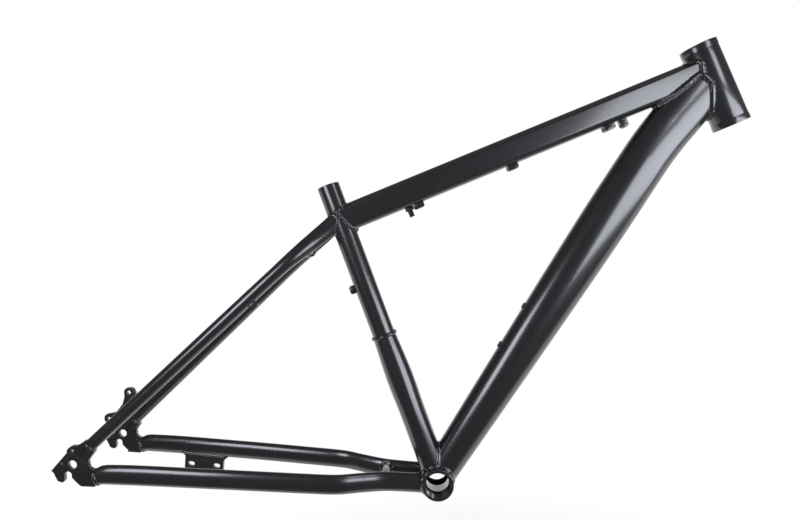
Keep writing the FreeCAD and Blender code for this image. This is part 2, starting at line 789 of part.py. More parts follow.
def guide_block(name, centre, along, outward, length, height, width, offsets, foot=0.0):
    """Block whose bores run along the tube; a foot above 0 makes it a narrow lug on a wider base."""
    bite = size("guide_bite")
    half = length / 2
    turn = min(height, length) * 0.4
    corners = [(-half, -bite, 0), (half, -bite, 0)]
    if foot > 0:
        neck = half * 0.6
        corners += [(half, foot, 0), (neck, foot, 0), (neck, height, 0), (-neck, height, 0)]
        corners += [(-neck, foot, 0), (-half, foot, 0)]
    else:
        corners += [(half, height, turn), (-half, height, turn)]
    profile = Part.Wire([edge.toShape() for edge in rounded_outline(corners)])
    block = Part.Face(profile).extrude(Vector(0, 0, width))
    block.translate(Vector(0, 0, -width / 2))
    radius = size("guide_bore") / 2
    slit = size("guide_slit") / 2
    level = height - radius - size("guide_rim")
    for offset in offsets:
        lengthwise = Vector(1, 0, 0)
        block = block.cut(Part.makeCylinder(radius, length + 2, Vector(-half - 1, level, offset), lengthwise))
        block = block.cut(Part.makeBox(length + 2, height, 2 * slit, Vector(-half - 1, level, offset - slit)))
    feature = shape_feature(f"{name}_block", block)
    feature.Placement = Placement(centre, Rotation(along, outward, along.cross(outward), "XYZ"))
    return feature


def under_top_tube(distance):
    share = distance / (top_tube_front - top_tube_rear).Length
    depth = size("top_tube_depth_rear") + share * (size("top_tube_depth_front") - size("top_tube_depth_rear"))
    return top_tube_rear + top_tube_axis * distance - top_tube_up * (depth / 2)


def brazed(label, centre, along, outward, shape, tube):
    keep(cut(label, guide_block(label, centre, along, outward, *shape), tube), label)


down = top_tube_up * -1
pair = (-size("guide_pitch") / 2, size("guide_pitch") / 2)
double = (size("double_guide_length"), size("double_guide_height"), size("double_guide_width"), pair)
for name in ("front", "middle", "rear"):
    place_on_tube = under_top_tube(size(f"{name}_guide_at"))
    brazed(f"{name}_cable_guide", place_on_tube, top_tube_axis, down, double, top_envelope)
stop_shape = (size("cable_stop_length"), size("cable_stop_height"), size("single_guide_width"), (0.0,), 5.0)
stop_at = under_top_tube(size("cable_stop_at"))
brazed("rear_cable_stop", stop_at, top_tube_axis, down, stop_shape, top_envelope)
hose_shape = (11.0, size("front_hose_guide_height"), size("single_guide_width"), (0.0,))
hose_at = under_top_tube(size("front_hose_guide_at"))
brazed("front_hose_guide", hose_at, top_tube_axis, down, hose_shape, top_envelope)

seat_back = Vector(-seat_axis.z, 0, seat_axis.x)
seat_guide_at = seat_axis * size("seat_guide_height") + seat_back * (size("seat_tube_diameter") / 2 - 0.5)
rows = seatstay_rows()
bent = Vector(rows[-2][0], -rows[-2][1], rows[-2][2])
ending = Vector(rows[-1][0], -rows[-1][1], rows[-1][2])
stay_axis = (ending - bent).normalize()
stay_under = section_frame(bent, stay_axis).Rotation.multVec(Vector(0, -1, 0))
stay_guide_at = bent + stay_axis * 4 + stay_under * (size("seatstay_diameter") / 2 - 0.6)
single = (12.0, 7.5, size("single_guide_width"), (0.0,))
brazed("seat_tube_cable_guide", seat_guide_at, seat_axis, seat_back, single, seat_envelope)
brazed("seatstay_cable_guide", stay_guide_at, stay_axis, stay_under, single, stay_envelopes["seatstay_right"])

doc.recompute()
failed = [item.Name for item in doc.Objects if "Invalid" in item.State or "Error" in item.State]
for label, feature in subparts.items():
    shape = feature.Shape
    if shape.isNull() or not shape.isValid():
        failed.append(label)
if failed:
    raise SystemExit(f"failed objects: {failed}")

os.makedirs("parts", exist_ok=True)
for label, feature in subparts.items():
    feature.Shape.exportStep(f"parts/{label}.step")
    print(label, len(feature.Shape.Solids), round(feature.Shape.Volume))
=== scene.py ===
import math
import bmesh
import bpy
from mathutils import Matrix, Vector
from mathutils.bvhtree import BVHTree


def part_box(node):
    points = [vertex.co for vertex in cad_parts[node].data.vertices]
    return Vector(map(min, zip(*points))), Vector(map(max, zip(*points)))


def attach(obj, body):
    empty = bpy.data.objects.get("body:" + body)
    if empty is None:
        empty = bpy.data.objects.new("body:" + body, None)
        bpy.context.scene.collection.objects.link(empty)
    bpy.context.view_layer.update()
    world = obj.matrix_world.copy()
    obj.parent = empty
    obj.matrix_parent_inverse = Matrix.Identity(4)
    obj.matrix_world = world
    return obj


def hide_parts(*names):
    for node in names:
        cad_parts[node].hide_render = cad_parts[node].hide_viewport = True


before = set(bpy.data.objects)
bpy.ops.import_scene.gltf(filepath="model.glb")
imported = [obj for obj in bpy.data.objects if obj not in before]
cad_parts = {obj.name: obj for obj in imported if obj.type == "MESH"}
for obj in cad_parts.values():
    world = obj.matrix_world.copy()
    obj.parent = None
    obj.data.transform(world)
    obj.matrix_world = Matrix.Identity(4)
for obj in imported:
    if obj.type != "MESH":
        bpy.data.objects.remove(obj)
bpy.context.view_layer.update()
mm = 0.001
print("frame loaded:", len(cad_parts), "nodes")


# small helpers for nodes, colours and meshes

def linearColour(hexText):
    parts = [int(hexText[i:i + 2], 16) / 255 for i in (1, 3, 5)]
    return [p / 12.92 if p <= 0.04045 else ((p + 0.055) / 1.055) ** 2.4 for p in parts] + [1.0]


def addNode(tree, kind, inputs=None, **settings):
    node = tree.nodes.new(kind)
    for name, value in settings.items():
        setattr(node, name, value)
    for name, value in (inputs or {}).items():
        if isinstance(value, bpy.types.NodeSocket):
            tree.links.new(value, node.inputs[name])
        else:
            node.inputs[name].default_value = value
    return node


def newMaterial(name):
    material = bpy.data.materials.new(name)
    material.use_nodes = True
    material.node_tree.nodes.clear()
    return material, material.node_tree


def meshFrom(name, points, faces):
    mesh = bpy.data.meshes.new(name)
    mesh.from_pydata([p * mm for p in points], [], faces)
    work = bmesh.new()
    work.from_mesh(mesh)
    bmesh.ops.remove_doubles(work, verts=work.verts, dist=1e-7)
    bmesh.ops.recalc_face_normals(work, faces=work.faces)
    work.to_mesh(mesh)
    work.free()
    return mesh


def linked(name, mesh):
    piece = bpy.data.objects.new(name, mesh)
    bpy.context.scene.collection.objects.link(piece)
    return piece


def bake(piece):
    evaluated = piece.evaluated_get(bpy.context.evaluated_depsgraph_get())
    mesh = bpy.data.meshes.new_from_object(evaluated)
    piece.modifiers.clear()
    piece.data = mesh
    return piece


def discard(*pieces):
    for piece in pieces:
        bpy.data.objects.remove(piece)


def shadeSmooth(piece, sharpAngle):
    piece.data.shade_smooth()
    piece.data.set_sharp_from_angle(angle=math.radians(sharpAngle))


def finishPiece(piece, materials, nodes, sharpAngle=35):
    shadeSmooth(piece, sharpAngle)
    piece.data.materials.clear()
    for material in materials:
        piece.data.materials.append(material)
    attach(piece, "root")
    if nodes:
        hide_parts(*nodes)
    return piece


# finishes

bumpDepth = 0.02
paint = {"cloudSize": 45, "roughnessSwing": 0.03, "index": 1.5, "coatIndex": 1.6}


def satinBlackPaint(name, gloss):
    # satin powder coat on aluminium tube: near black under a clear layer, faint clouds, a slight orange peel
    material, tree = newMaterial(name)
    spot = addNode(tree, "ShaderNodeTexCoord").outputs["Object"]
    peel = addNode(tree, "ShaderNodeTexNoise", {"Vector": spot, "Scale": 1 / (gloss["peelSize"] * mm), "Detail": 2.0})
    cloud = addNode(tree, "ShaderNodeTexNoise", {"Vector": spot, "Scale": 1 / (paint["cloudSize"] * mm),
                                                 "Detail": 3.0})
    shade = addNode(tree, "ShaderNodeMix", {0: cloud.outputs["Fac"], 6: linearColour(gloss["dark"]),
                                            7: linearColour(gloss["light"])}, data_type="RGBA")
    rough = addNode(tree, "ShaderNodeMapRange", {
        "Value": cloud.outputs["Fac"], "To Min": gloss["roughness"] - paint["roughnessSwing"],
        "To Max": gloss["roughness"] + paint["roughnessSwing"]})
    bump = addNode(tree, "ShaderNodeBump", {"Height": peel.outputs["Fac"], "Strength": gloss["peel"],
                                            "Distance": bumpDepth * mm})
    shader = addNode(tree, "ShaderNodeBsdfPrincipled", {
        "Base Color": shade.outputs[2], "Roughness": rough.outputs["Result"], "Normal": bump.outputs["Normal"],
        "IOR": paint["index"], "Coat Weight": gloss["coat"], "Coat Roughness": gloss["coatRoughness"],
        "Coat IOR": paint["coatIndex"]})
    addNode(tree, "ShaderNodeOutputMaterial", {"Surface": shader.outputs["BSDF"]})
    return material


tubePaint = satinBlackPaint("satinBlackPowderCoat", {
    "dark": "#161719", "light": "#1a1b1e", "roughness": 0.3, "coat": 1.0, "coatRoughness": 0.17, "peel": 0.06,
    "peelSize": 1.6})
weldPaint = satinBlackPaint("blackCoatOverWeld", {
    "dark": "#151618", "light": "#1b1c1e", "roughness": 0.26, "coat": 1.0, "coatRoughness": 0.1, "peel": 0.3,
    "peelSize": 1.1})
forgedPaint = satinBlackPaint("blackCoatOverForging", {
    "dark": "#161719", "light": "#1b1c1f", "roughness": 0.34, "coat": 0.8, "coatRoughness": 0.2, "peel": 0.15,
    "peelSize": 1.3})


def turnedAluminium():
    # bare 6061 aluminium left by the reamer and the tap: grey, fine grain, dull shine
    material, tree = newMaterial("turnedAluminium")
    spot = addNode(tree, "ShaderNodeTexCoord").outputs["Object"]
    grain = addNode(tree, "ShaderNodeTexNoise", {"Vector": spot, "Scale": 1 / (0.8 * mm), "Detail": 4.0})
    shade = addNode(tree, "ShaderNodeValToRGB", {"Fac": grain.outputs["Fac"]})
    shade.color_ramp.elements[0].color = linearColour("#8f8d88")
    shade.color_ramp.elements[1].color = linearColour("#b9b7b1")
    bump = addNode(tree, "ShaderNodeBump", {"Height": grain.outputs["Fac"], "Strength": 0.3,
                                            "Distance": bumpDepth * mm})
    shader = addNode(tree, "ShaderNodeBsdfPrincipled", {
        "Base Color": shade.outputs["Color"], "Metallic": 1.0, "Roughness": 0.38, "Normal": bump.outputs["Normal"]})
    addNode(tree, "ShaderNodeOutputMaterial", {"Surface": shader.outputs["BSDF"]})
    return material


bareAluminium = turnedAluminium()
print("finishes ready")


# skeleton of the side view, in millimetres

skeleton = {
    "reach": 395, "stack": 582, "headAngle": 69.8, "headLength": 119.5, "seatAngle": 72.8, "seatLength": 440,
    "chainstay": 490, "drop": 52, "topTubeSeatHeight": 387.3, "topTubeHeadDrop": 36, "downTubeAngle": 53.8,
}


def heading(angle):
    return Vector((math.cos(math.radians(angle)), 0, math.sin(math.radians(angle))))


seatAxis = heading(180 - skeleton["seatAngle"])
headAxis = heading(180 - skeleton["headAngle"])
headTop = Vector((skeleton["reach"], 0, skeleton["stack"]))
axleX = -math.sqrt(skeleton["chainstay"] ** 2 - skeleton["drop"] ** 2)
rearAxle = Vector((axleX, 0, skeleton["drop"]))
topRear = seatAxis * skeleton["topTubeSeatHeight"]
topFront = headTop - headAxis * skeleton["topTubeHeadDrop"]
topAxis = (topFront - topRear).normalized()
downAxis = heading(skeleton["downTubeAngle"])


def sectionAxes(tangent):
    along = Vector(tangent).normalized()
    up = (Vector((0, 0, 1)) - along * along.z).normalized()
    return up.cross(along), up, along


def ringGrid(stations, sides):
    # one ring of points for each (centre, tangent, width, depth, lean)
    grid = []
    for centre, tangent, width, depth, lean in stations:
        sideways, up, _ = sectionAxes(tangent)
        ring = []
        for side in range(sides):
            turn = 2 * math.pi * side / sides
            x = width / 2 * math.cos(turn) * (1 + lean * math.sin(turn))
            ring.append(centre + sideways * x + up * (depth / 2 * math.sin(turn)))
        grid.append(ring)
    return grid


def gridMesh(name, grid):
    sides = len(grid[0])
    points = [p for ring in grid for p in ring]
    faces = [[sides - 1 - s for s in range(sides)], [len(points) - sides + s for s in range(sides)]]
    for r in range(len(grid) - 1):
        for s in range(sides):
            t = (s + 1) % sides
            faces.append([r * sides + s, r * sides + t, (r + 1) * sides + t, (r + 1) * sides + s])
    return meshFrom(name, points, faces)


def throughRows(rows, steps):
    # smooth curve through rows of numbers, spaced by the distance between their first three
    knots = [0.0]
    for a, b in zip(rows, rows[1:]):
        knots.append(knots[-1] + max(1e-6, (Vector(b[:3]) - Vector(a[:3])).length))
    slopes = []
    last = len(rows) - 1
    for i in range(last + 1):
        a, b = max(i - 1, 0), min(i + 1, last)
        slopes.append([(rows[b][k] - rows[a][k]) / (knots[b] - knots[a]) for k in range(len(rows[0]))])
    result = []
    for n in range(steps + 1):
        at = knots[-1] * n / steps
        i = max(0, min(last - 1, sum(1 for k in knots if k <= at) - 1))
        span = knots[i + 1] - knots[i]
        u = (at - knots[i]) / span
        h = (2 * u ** 3 - 3 * u ** 2 + 1, u ** 3 - 2 * u ** 2 + u, 3 * u ** 2 - 2 * u ** 3, u ** 3 - u ** 2)
        result.append([h[0] * rows[i][k] + h[1] * span * slopes[i][k] + h[2] * rows[i + 1][k]
                       + h[3] * span * slopes[i + 1][k] for k in range(len(rows[0]))])
    return result


def stationsFrom(rows, steps):
    smooth = throughRows(rows, steps)
    centres = [Vector(row[:3]) for row in smooth]
    stations = []
    for i, row in enumerate(smooth):
        tangent = centres[min(i + 1, steps)] - centres[max(i - 1, 0)]
        stations.append((centres[i], tangent, row[3], row[4], row[5]))
    return stations


def turnedMesh(name, profile, foot, axis, sides=96):
    # closed profile of (radius, distance along axis) turned about the axis
    along = axis.normalized()
    across = Vector((0, 1, 0)) if abs(along.y) < 0.9 else Vector((1, 0, 0))
    other = along.cross(across).normalized()
    across = other.cross(along)
    points = []
    for s in range(sides):
        turn = 2 * math.pi * s / sides
        spoke = across * math.cos(turn) + other * math.sin(turn)
        points += [foot + along * distance + spoke * radius for radius, distance in profile]
    count = len(profile)
    faces = []
    for s in range(sides):
        t = (s + 1) % sides
        for i in range(count):
            j = (i + 1) % count
            faces.append([s * count + i, s * count + j, t * count + j, t * count + i])
    return meshFrom(name, points, faces)


def rodMesh(name, radius, foot, axis, length, sides=96):
    ends = [(end, axis, 2 * radius, 2 * radius, 0) for end in (foot, foot + axis * length)]
    return gridMesh(name, ringGrid(ends, sides))


def cutBy(piece, *tools):
    for tool in tools:
        cutter = piece.modifiers.new("cope", "BOOLEAN")
        cutter.operation = "DIFFERENCE"
        cutter.solver = "EXACT"
        cutter.object = tool
    return bake(piece)


def softenEdges(piece, width, angle=35, segments=2):
    bevel = piece.modifiers.new("soften", "BEVEL")
    bevel.width = width * mm
    bevel.segments = segments
    bevel.limit_method = "ANGLE"
    bevel.angle_limit = math.radians(angle)
    return bake(piece)


# head tube: turned, with a raised rim and a reamed cup seat at each end

headTube = {"radius": 24.7, "rim": 25.1, "rimHeight": 9.0, "bore": 22.0, "groove": 0.25, "edge": 0.6}


def makeHeadTube(cfg, length):
    mid, rim, bore, edge = cfg["radius"], cfg["rim"], cfg["bore"], cfg["edge"]
    step = cfg["rimHeight"]
    half = [(bore, 0), (rim - edge, 0), (rim - edge * 0.3, edge * 0.3), (rim, edge), (rim, step - 0.3),
            (mid - cfg["groove"], step), (mid - cfg["groove"], step + 0.5), (mid, step + 1.0)]
    profile = half + [(r, length - d) for r, d in reversed(half)]
    mesh = turnedMesh("headTubeBody", profile, headTop, -headAxis, 128)
    piece = linked("headTubeBody", mesh)
    for face in piece.data.polygons:  # the reamed bore stays bare
        centre = Vector(face.center) / mm - headTop
        away = (centre - headAxis * centre.dot(headAxis)).length
        face.material_index = 1 if away < bore + 0.2 else 0
    return finishPiece(piece, [tubePaint, bareAluminium], ["head_tube"])


makeHeadTube(headTube, skeleton["headLength"])

# bottom bracket shell: threaded right through, both faces cut square

shell = {"radius": 21.8, "bore": 16.95, "width": 73, "chamfer": 0.9, "threadPitch": 1.058, "threadDepth": 0.55,
         "threadRun": 25}


def makeShell(cfg):
    half = cfg["width"] / 2
    radius, bore, chamfer = cfg["radius"], cfg["bore"], cfg["chamfer"]
    profile = [(radius - chamfer, -half), (radius, -half + chamfer), (radius, half - chamfer),
               (radius - chamfer, half), (bore + 1.1, half), (bore + 0.2, half - 0.9)]
    count = int(cfg["threadRun"] / cfg["threadPitch"])
    for turn in range(count):
        start = half - 1.0 - turn * cfg["threadPitch"]
        profile.append((bore + cfg["threadDepth"], start - cfg["threadPitch"] * 0.25))
        profile.append((bore, start - cfg["threadPitch"] * 0.75))
    for turn in reversed(range(count)):
        start = half - 1.0 - turn * cfg["threadPitch"]
        profile.append((bore, -start + cfg["threadPitch"] * 0.75))
        profile.append((bore + cfg["threadDepth"], -start + cfg["threadPitch"] * 0.25))
    profile += [(bore + 0.2, -half + 0.9), (bore + 1.1, -half)]
    piece = linked("shellBody", turnedMesh("shellBody", profile, Vector(), Vector((0, 1, 0)), 96))
    for face in piece.data.polygons:
        away = math.hypot(face.center.x, face.center.z) / mm
        face.material_index = 1 if away < radius - chamfer + 0.05 else 0
    return finishPiece(piece, [tubePaint, bareAluminium], ["bb_shell"], 25)


makeShell(shell)

# seat tube: straight round tube, slotted behind for the collar

seatTube = {"radius": 15.9, "bore": 13.6, "start": 212, "slotWidth": 2.4, "slotLength": 32, "slotEnd": 2.5}


def makeSeatTube(cfg):
    length = skeleton["seatLength"]
    outer, bore = cfg["radius"], cfg["bore"]
    profile = [(bore, cfg["start"]), (outer, cfg["start"]), (outer, length - 0.5), (outer - 0.5, length),
               (bore + 0.4, length), (bore, length - 0.4)]
    piece = linked("seatTubeBody", turnedMesh("seatTubeBody", profile, Vector(), seatAxis, 96))
    back = Vector((-seatAxis.z, 0, seatAxis.x))
    foot = seatAxis * (length - cfg["slotLength"])
    half = cfg["slotWidth"] / 2
    corners = []
    for y in (-half, half):
        for out, rise in ((0, 0), (30, 0), (30, 60), (0, 60)):
            corners.append(foot + back * out + seatAxis * rise + Vector((0, y, 0)))
    faces = [[0, 1, 2, 3], [7, 6, 5, 4], [0, 4, 5, 1], [1, 5, 6, 2], [2, 6, 7, 3], [3, 7, 4, 0]]
    slot = linked("slotTool", meshFrom("slotTool", corners, faces))
    end = linked("slotEndTool", rodMesh("slotEndTool", cfg["slotEnd"], foot, back, 30, 24))
    cutBy(piece, slot, end)
    discard(slot, end)
    return finishPiece(piece, [tubePaint], ["seat_tube"])


makeSeatTube(seatTube)
print("turned tubes made")

# neighbours that the formed tubes are coped to, a hair smaller so that each tube bites into its neighbour

bite = 0.3
copedSharpAngle = 60
seatToolStart, seatToolLength = 180, 300


def copingRod(name, radius, foot, axis, length):
    return linked(name, rodMesh(name, radius - bite, foot, axis, length))


headTool = copingRod("headTool", headTube["radius"], headTop - headAxis * skeleton["headLength"], headAxis,
                     skeleton["headLength"])
seatTool = copingRod("seatTool", seatTube["radius"], seatAxis * seatToolStart, seatAxis, seatToolLength)
shellTool = copingRod("shellTool", shell["radius"], Vector((0, -shell["width"] / 2, 0)), Vector((0, 1, 0)),
                      shell["width"])


def surfaceTree(piece):
    work = bmesh.new()
    work.from_mesh(piece.data)
    tree = BVHTree.FromBMesh(work)
    work.free()
    return tree


# top tube: narrow crown, crease high on each side, leaning sides and a rounded belly

topTube = {
    "rear": {"width": 34, "depth": 38, "crown": 17, "crease": 6},
    "front": {"width": 40, "depth": 37.2, "crown": 20, "crease": 7},
    "tuck": 5, "edgeRadius": 3, "bellyRadius": 10.5, "cornerSteps": 8, "rings": 40,
}


def creasedRing(centre, end, cfg):
    half, top = end["width"] / 2, end["depth"] / 2
    corners = [(end["crown"] / 2, top, cfg["edgeRadius"]), (half, top - end["crease"], cfg["edgeRadius"]),
               (half - cfg["tuck"], -top, cfg["bellyRadius"])]
    corners += [(-x, y, r) for x, y, r in reversed(corners)]
    outline = []
    for i, (x, y, radius) in enumerate(corners):
        here = Vector((x, y, 0))
        toBefore = (Vector((*corners[i - 1][:2], 0)) - here).normalized()
        toAfter = (Vector((*corners[(i + 1) % len(corners)][:2], 0)) - here).normalized()
        halfAngle = toBefore.angle(toAfter) / 2
        bisector = (toBefore + toAfter).normalized()
        middle = here + bisector * (radius / math.sin(halfAngle))
        start = here + toBefore * (radius / math.tan(halfAngle)) - middle
        finish = here + toAfter * (radius / math.tan(halfAngle)) - middle
        for n in range(cfg["cornerSteps"] + 1):
            spoke = start.lerp(finish, n / cfg["cornerSteps"]).normalized()
            outline.append(middle + spoke * radius)
    sideways, up, _ = sectionAxes(topAxis)
    outline = [centre + sideways * p.x + up * p.y for p in outline]
    return list(reversed(outline))


def makeTopTube(cfg):
    grid = []
    for n in range(cfg["rings"] + 1):
        share = n / cfg["rings"]
        end = {key: cfg["rear"][key] + share * (cfg["front"][key] - cfg["rear"][key]) for key in cfg["rear"]}
        grid.append(creasedRing(topRear.lerp(topFront, share), end, cfg))
    return grid


topGrid = makeTopTube(topTube)
topTubeBody = linked("topTubeBody", gridMesh("topTubeBody", topGrid))
topTool = linked("topTool", topTubeBody.data.copy())
cutBy(topTubeBody, headTool, seatTool)
finishPiece(topTubeBody, [tubePaint], ["top_tube"], copedSharpAngle)

# down tube: oval that deepens toward the head, then bends forward

downTube = {
    "width": (43, 47, 49, 41), "depth": (46, 57.4, 66.5, 64), "lean": (0, 0.04, 0.12, 0.16), "at": (0, 210, 420),
    "bendStart": 528, "bendRadius": 520, "bendAngle": 8, "bendSteps": 4, "endRun": 62, "sides": 96, "steps": 120,
}


def downRows(cfg):
    angle = skeleton["downTubeAngle"]
    rows = []
    for i, at in enumerate(cfg["at"]):
        rows.append([*(downAxis * at), cfg["width"][i], cfg["depth"][i], cfg["lean"][i]])
    start = downAxis * cfg["bendStart"]
    centre = start - Vector((-downAxis.z, 0, downAxis.x)) * cfg["bendRadius"]
    bendSteps = cfg["bendSteps"]
    for n in range(bendSteps + 1):
        direction = heading(angle - cfg["bendAngle"] * n / bendSteps)
        spot = centre + Vector((-direction.z, 0, direction.x)) * cfg["bendRadius"]
        width = cfg["width"][2] + (cfg["width"][3] - cfg["width"][2]) * n / (bendSteps + 1)
        rows.append([*spot, width, cfg["depth"][2], cfg["lean"][2]])
    finish = spot + direction * cfg["endRun"]
    rows.append([*finish, cfg["width"][3], cfg["depth"][3], cfg["lean"][3]])
    return rows


downGrid = ringGrid(stationsFrom(downRows(downTube), downTube["steps"]), downTube["sides"])
downTubeBody = linked("downTubeBody", gridMesh("downTubeBody", downGrid))
downTool = linked("downTool", downTubeBody.data.copy())
cutBy(downTubeBody, headTool, topTool, shellTool)
finishPiece(downTubeBody, [tubePaint], ["down_tube"], copedSharpAngle)

# lower seat tube: swells below the ring joint and straddles the shell

lowerSeat = {"top": 214, "bulgeAt": 152, "taper": 50, "neck": 32.6, "bulgeDepth": 38.2, "footDepth": 36.6,
             "bulgeWidth": 40, "footWidth": 42, "sides": 80, "steps": 60}


def lowerSeatRows(cfg):
    foot = [cfg["footWidth"], cfg["footDepth"], 0]
    full = [cfg["bulgeWidth"], cfg["bulgeDepth"], 0]
    places = ((0, foot), (60, foot), (cfg["bulgeAt"] - cfg["taper"], foot), (cfg["bulgeAt"], full),
              (cfg["top"], [cfg["neck"], cfg["neck"], 0]))
    return [[*(seatAxis * at), *section] for at, section in places]


lowerGrid = ringGrid(stationsFrom(lowerSeatRows(lowerSeat), lowerSeat["steps"]), lowerSeat["sides"])
lowerSeatBody = linked("lowerSeatTubeBody", gridMesh("lowerSeatTubeBody", lowerGrid))
lowerTool = linked("lowerTool", lowerSeatBody.data.copy())
cutBy(lowerSeatBody, shellTool, downTool)
finishPiece(lowerSeatBody, [tubePaint], ["seat_tube_lower"], copedSharpAngle)
print("main tubes made")

# stays: centre lines for the left side, mirrored for the right

stays = {
    "chainRise": 0.1197, "chainDrop": 2.2, "chainHeight": 26.5, "chainEndHeight": 21.5, "chainWidth": 16,
    "chainPinch": 14.5, "shell": 23, "tyre": 53, "axle": 69, "bendFront": 74, "bendRear": 134,
    "dropoutReach": 35.5, "seatRound": 18.2, "seatEnd": 17, "seatTopHeight": 24, "seatTopWidth": 13, "sides": 56,
    "steps": 90,
}


def chainRows(cfg):
    height, width, pinch = cfg["chainHeight"], cfg["chainWidth"], cfg["chainPinch"]
    front, rear, tyre = cfg["bendFront"], cfg["bendRear"], cfg["tyre"]
    joint = -axleX - cfg["dropoutReach"]
    quarter = (rear - front) / 4
    straight = (rear + joint) / 2

    def level(distance):
        return cfg["chainRise"] * distance - cfg["chainDrop"]

    return [
        [-8, cfg["shell"], level(8), width, height],
        [-front * 0.55, cfg["shell"] + 0.6, level(front * 0.55), width, height],
        [-front, cfg["shell"] + 4, level(front), pinch, height],
        [-(front + rear) / 2, (cfg["shell"] + tyre) / 2, level((front + rear) / 2), pinch, height],
        [-rear, tyre - 2.5, level(rear), pinch, height],
        [-rear - quarter * 2, tyre + 1.2, level(rear + quarter * 2), width, height],
        [-straight, tyre + (cfg["axle"] - tyre) * 0.56, level(straight), width, height],
        [-joint + 13, cfg["axle"] - 0.4, level(joint - 13) - 1.6, width, height - 0.5],
        [-joint, cfg["axle"], level(joint) - 5.6, width, cfg["chainEndHeight"]],
    ]


def seatRows(cfg):
    high, wide, size = cfg["seatTopHeight"], cfg["seatTopWidth"], cfg["seatRound"]
    x, z = topRear.x, topRear.z
    return [
        [x - 3, 8.5, z + 2, wide, high],
        [x - 20, 12.5, z - 12, wide, high],
        [x - 37, 17.5, z - 25.5, wide + 1.5, high - 0.5],
        [x - 53, 24.2, z - 38, wide + 3.5, high - 2],
        [x - 70, 31, z - 51.5, size, size + 1.5],
        [x - 91, 35.5, z - 69, size, size],
        [x - 126, 40.5, z - 98.5, size, size],
        [axleX + 29, 67, rearAxle.z + 36, cfg["seatEnd"], cfg["seatEnd"]],
    ]


stayGrids = {}
stayTools = {}
for sideName, side in (("Right", -1), ("Left", 1)):
    for kind, rows, tools in (("chainStay", chainRows(stays), (shellTool, lowerTool)),
                              ("seatStay", seatRows(stays), (seatTool,))):
        rows = [[x, side * y, z, width, depth, 0] for x, y, z, width, depth in rows]
        grid = ringGrid(stationsFrom(rows, stays["steps"]), stays["sides"])
        name = kind + sideName
        piece = linked(name, gridMesh(name, grid))
        stayTools[name] = linked(name + "Tool", piece.data.copy())
        stayGrids[name] = grid
        cutBy(piece, *tools)
        finishPiece(piece, [tubePaint], [f"{kind.lower()}_{sideName.lower()}"], copedSharpAngle)
print("stays made")


# forgings, plates and guides: the CAD solids with their edges rounded

def softCopy(node, name, width, material):
    work = bmesh.new()
    work.from_mesh(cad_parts[node].data)
    bmesh.ops.remove_doubles(work, verts=work.verts, dist=2e-6)
    bmesh.ops.dissolve_limit(work, angle_limit=math.radians(1.5), verts=work.verts, edges=work.edges)
    mesh = bpy.data.meshes.new(name)
    work.to_mesh(mesh)
    work.free()
    piece = softenEdges(linked(name, mesh), width)
    return finishPiece(piece, [material], [node], 40)


softNodes = {
    "dropout_right": ("dropoutRightForging", 1.1), "dropout_left": ("dropoutLeftForging", 1.1),
    "disc_brake_mount": ("discBrakePlate", 0.8), "kickstand_plate": ("kickstandBracket", 0.7),
    "front_hose_guide": ("hoseGuideFront", 0.5), "front_cable_guide": ("cableGuideFront", 0.5),
    "middle_cable_guide": ("cableGuideMiddle", 0.5), "rear_cable_guide": ("cableGuideRear", 0.5),
    "rear_cable_stop": ("cableStopRear", 0.5), "seat_tube_cable_guide": ("cableGuideSeatTube", 0.5),
    "seatstay_cable_guide": ("cableGuideSeatStay", 0.5),
}
for node, (name, width) in softNodes.items():
    softCopy(node, name, width, forgedPaint)
for node, name in (("seatstay_bridge", "seatStayBridge"), ("chainstay_bridge", "chainStayBridge")):
    softCopy(node, name, 0.05, tubePaint)

# bottle bosses: threaded inserts with a thin flange

bosses = {
    "along": (0.57279, 0, 0.81970), "between": (120.39, 0, 206.92), "lift": 4.1, "flange": 4.75, "body": 3.5,
    "bore": 2.15, "thickness": 1.8, "seat": 0.4, "depth": 10, "spacing": 64, "threadPitch": 0.8, "threadTurns": 12,
    "threadDepth": 0.3,
}


def makeBosses(cfg):
    along = Vector(cfg["along"])
    out = Vector((-along.z, 0, along.x))
    middle = Vector(cfg["between"]) + out * cfg["lift"]
    flange, body, bore, thick, deep = cfg["flange"], cfg["body"], cfg["bore"], cfg["thickness"], cfg["depth"]
    profile = [(bore + 0.5, thick), (flange - 0.5, thick), (flange - 0.15, thick - 0.15), (flange, thick - 0.5),
               (flange, -cfg["seat"]), (body, -cfg["seat"]), (body, -deep), (bore, -deep)]
    for turn in range(cfg["threadTurns"]):
        start = -deep + turn * cfg["threadPitch"]
        profile.append((bore + cfg["threadDepth"], start + 1.6))
        profile.append((bore, start + 2.0))
    work = bmesh.new()
    for side in (-1, 1):
        spot = middle + along * (side * cfg["spacing"] / 2)
        work.from_mesh(turnedMesh("boss", profile, spot, out, 48))
    mesh = bpy.data.meshes.new("bottleCageBosses")
    work.to_mesh(mesh)
    work.free()
    return finishPiece(linked("bottleCageBosses", mesh), [forgedPaint], ["bottle_bosses"], 30)


makeBosses(bosses)
print("fittings made")

# weld beads: each joint's path is where one tube's lines first meet its neighbours

welds = {"radius": 4.8, "smallRadius": 3.7, "headRadius": 5.6, "pitch": 2.6, "height": 0.66, "shingle": 24,
         "seed": 7, "core": 0.72, "smallest": 0.9, "largest": 1.12, "webFocus": 9}


